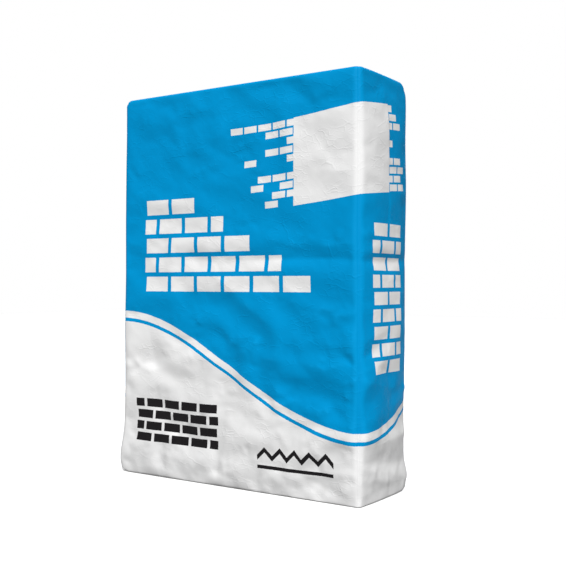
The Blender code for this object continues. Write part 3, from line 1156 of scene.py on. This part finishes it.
def make_valve_sleeve(kraft):
    """A flat paper tube, pressed shut, with its mouth a little open."""
    put_down()
    length = SLEEVE_LIP + SLEEVE_INSIDE
    left = -BAG_WIDTH / 2 - SLEEVE_LIP
    bpy.ops.mesh.primitive_cube_add(
        size=1.0,
        location=(left + length / 2, 0, SLEEVE_LEVEL),
        scale=(length, SLEEVE_WIDTH, SLEEVE_THICKNESS),
    )
    sleeve = name_piece("filling_sleeve")
    settle(sleeve)
    for axis, side in enumerate((length, SLEEVE_WIDTH)):
        put_down()
        edges, places = edges_of(sleeve), places_of(sleeve)
        runs = np.abs(places[edges[:, 1]] - places[edges[:, 0]])
        select_edges(sleeve, runs[:, axis] > 0.5 * side)
        bpy.ops.mesh.subdivide(number_cuts=SLEEVE_CELLS - 1)
    put_down()
    select_faces(sleeve, face_middles(sleeve)[:, 0] < left + 0.0001)
    bpy.ops.mesh.inset(thickness=SLEEVE_RIM, depth=0)
    bpy.ops.mesh.extrude_region_move(TRANSFORM_OT_translate={"value": (MOUTH_DEPTH, 0, 0)})
    put_down()
    places = places_of(sleeve)
    along = places[:, 1]
    opened = 1 - smooth_step(places[:, 0], left, left + MOUTH_REACH)
    opened *= np.cos(np.pi / 2 * np.clip(along / (SLEEVE_WIDTH / 2), -1, 1))
    waved = 1 - smooth_step(places[:, 0], left, left + MOUTH_DEPTH)
    places[:, 2] += np.sign(places[:, 2] - SLEEVE_LEVEL) * MOUTH_OPENING * opened
    places[:, 2] += MOUTH_WAVE * np.sin(along * 70) * waved
    place_all(sleeve, places)
    sharpen(sleeve)
    dress(sleeve, kraft)
    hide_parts("valve_sleeve")


def add_soft_light(name, azimuth, elevation, softness, strength):
    """A soft light from far off, at this azimuth from the front and this elevation, in degrees."""
    put_down()
    turn, rise = math.radians(azimuth), math.radians(elevation)
    towards = Vector((math.sin(turn) * math.cos(rise), -math.cos(turn) * math.cos(rise), math.sin(rise)))
    bpy.ops.object.light_add(type="SUN", location=3 * towards)
    light = bpy.context.object
    light.name = name
    light.data.angle = math.radians(softness)
    light.data.energy = strength
    light.rotation_euler = (-towards).to_track_quat("-Z", "Y").to_euler()


def make_studio():
    put_down()
    bpy.ops.mesh.primitive_plane_add(size=12.0)
    floor = name_piece("floor")
    material, tree, shader = new_finish("pale_floor", (0.92, 0.92, 0.92), 0.8)
    shade = mixed(tree, noise(tree, object_places(tree), 3, 3), (0.91, 0.91, 0.91), (0.93, 0.93, 0.93))
    tree.links.new(shade, shader.inputs["Base Color"])
    shader.inputs["Specular IOR Level"].default_value = 0.1
    floor.data.materials.append(material)
    floor.visible_diffuse = False

    add_soft_light("key", 37, 45, 24, 4.55)
    add_soft_light("back_fill", 214, 18, 50, 2.8)

    world = bpy.data.worlds.new("studio_air")
    bpy.context.scene.world = world
    world.use_nodes = True
    tree = world.node_tree
    air = tree.nodes["Background"]
    air.inputs["Color"].default_value = (1, 1, 1, 1)
    air.inputs["Strength"].default_value = 0.14
    seen = tree.nodes.new("ShaderNodeBackground")
    seen.inputs["Strength"].default_value = 1.0
    seen.inputs["Color"].default_value = (1, 1, 1, 1)
    path = tree.nodes.new("ShaderNodeLightPath")
    choice = tree.nodes.new("ShaderNodeMixShader")
    tree.links.new(path.outputs["Is Camera Ray"], choice.inputs[0])
    tree.links.new(air.outputs[0], choice.inputs[1])
    tree.links.new(seen.outputs[0], choice.inputs[2])
    tree.links.new(choice.outputs[0], tree.nodes["World Output"].inputs["Surface"])


def make_camera():
    put_down()
    bpy.ops.object.camera_add(
        location=(0.790, -1.121, 0.3046), rotation=(math.radians(90), 0, math.radians(33.616))
    )
    camera = bpy.context.object
    camera.name = "camera"
    camera.data.sensor_width = 36.0
    camera.data.lens = 56.22
    bpy.context.scene.camera = camera
    bpy.context.scene.view_settings.view_transform = "Standard"


def main():
    make_camera()
    make_studio()
    paper, patch_paper = make_printed_paper(), make_patch_paper()
    skin = make_sack_skin(paper)
    make_cement_core(make_cement())
    make_end_folds(skin, paper)
    make_top_patch(skin, patch_paper)
    make_tube_seam(skin, paper)
    make_valve_sleeve(make_sleeve_paper())
    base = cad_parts["bottom_patch"]
    base.data.materials.clear()
    base.data.materials.append(patch_paper)


main()
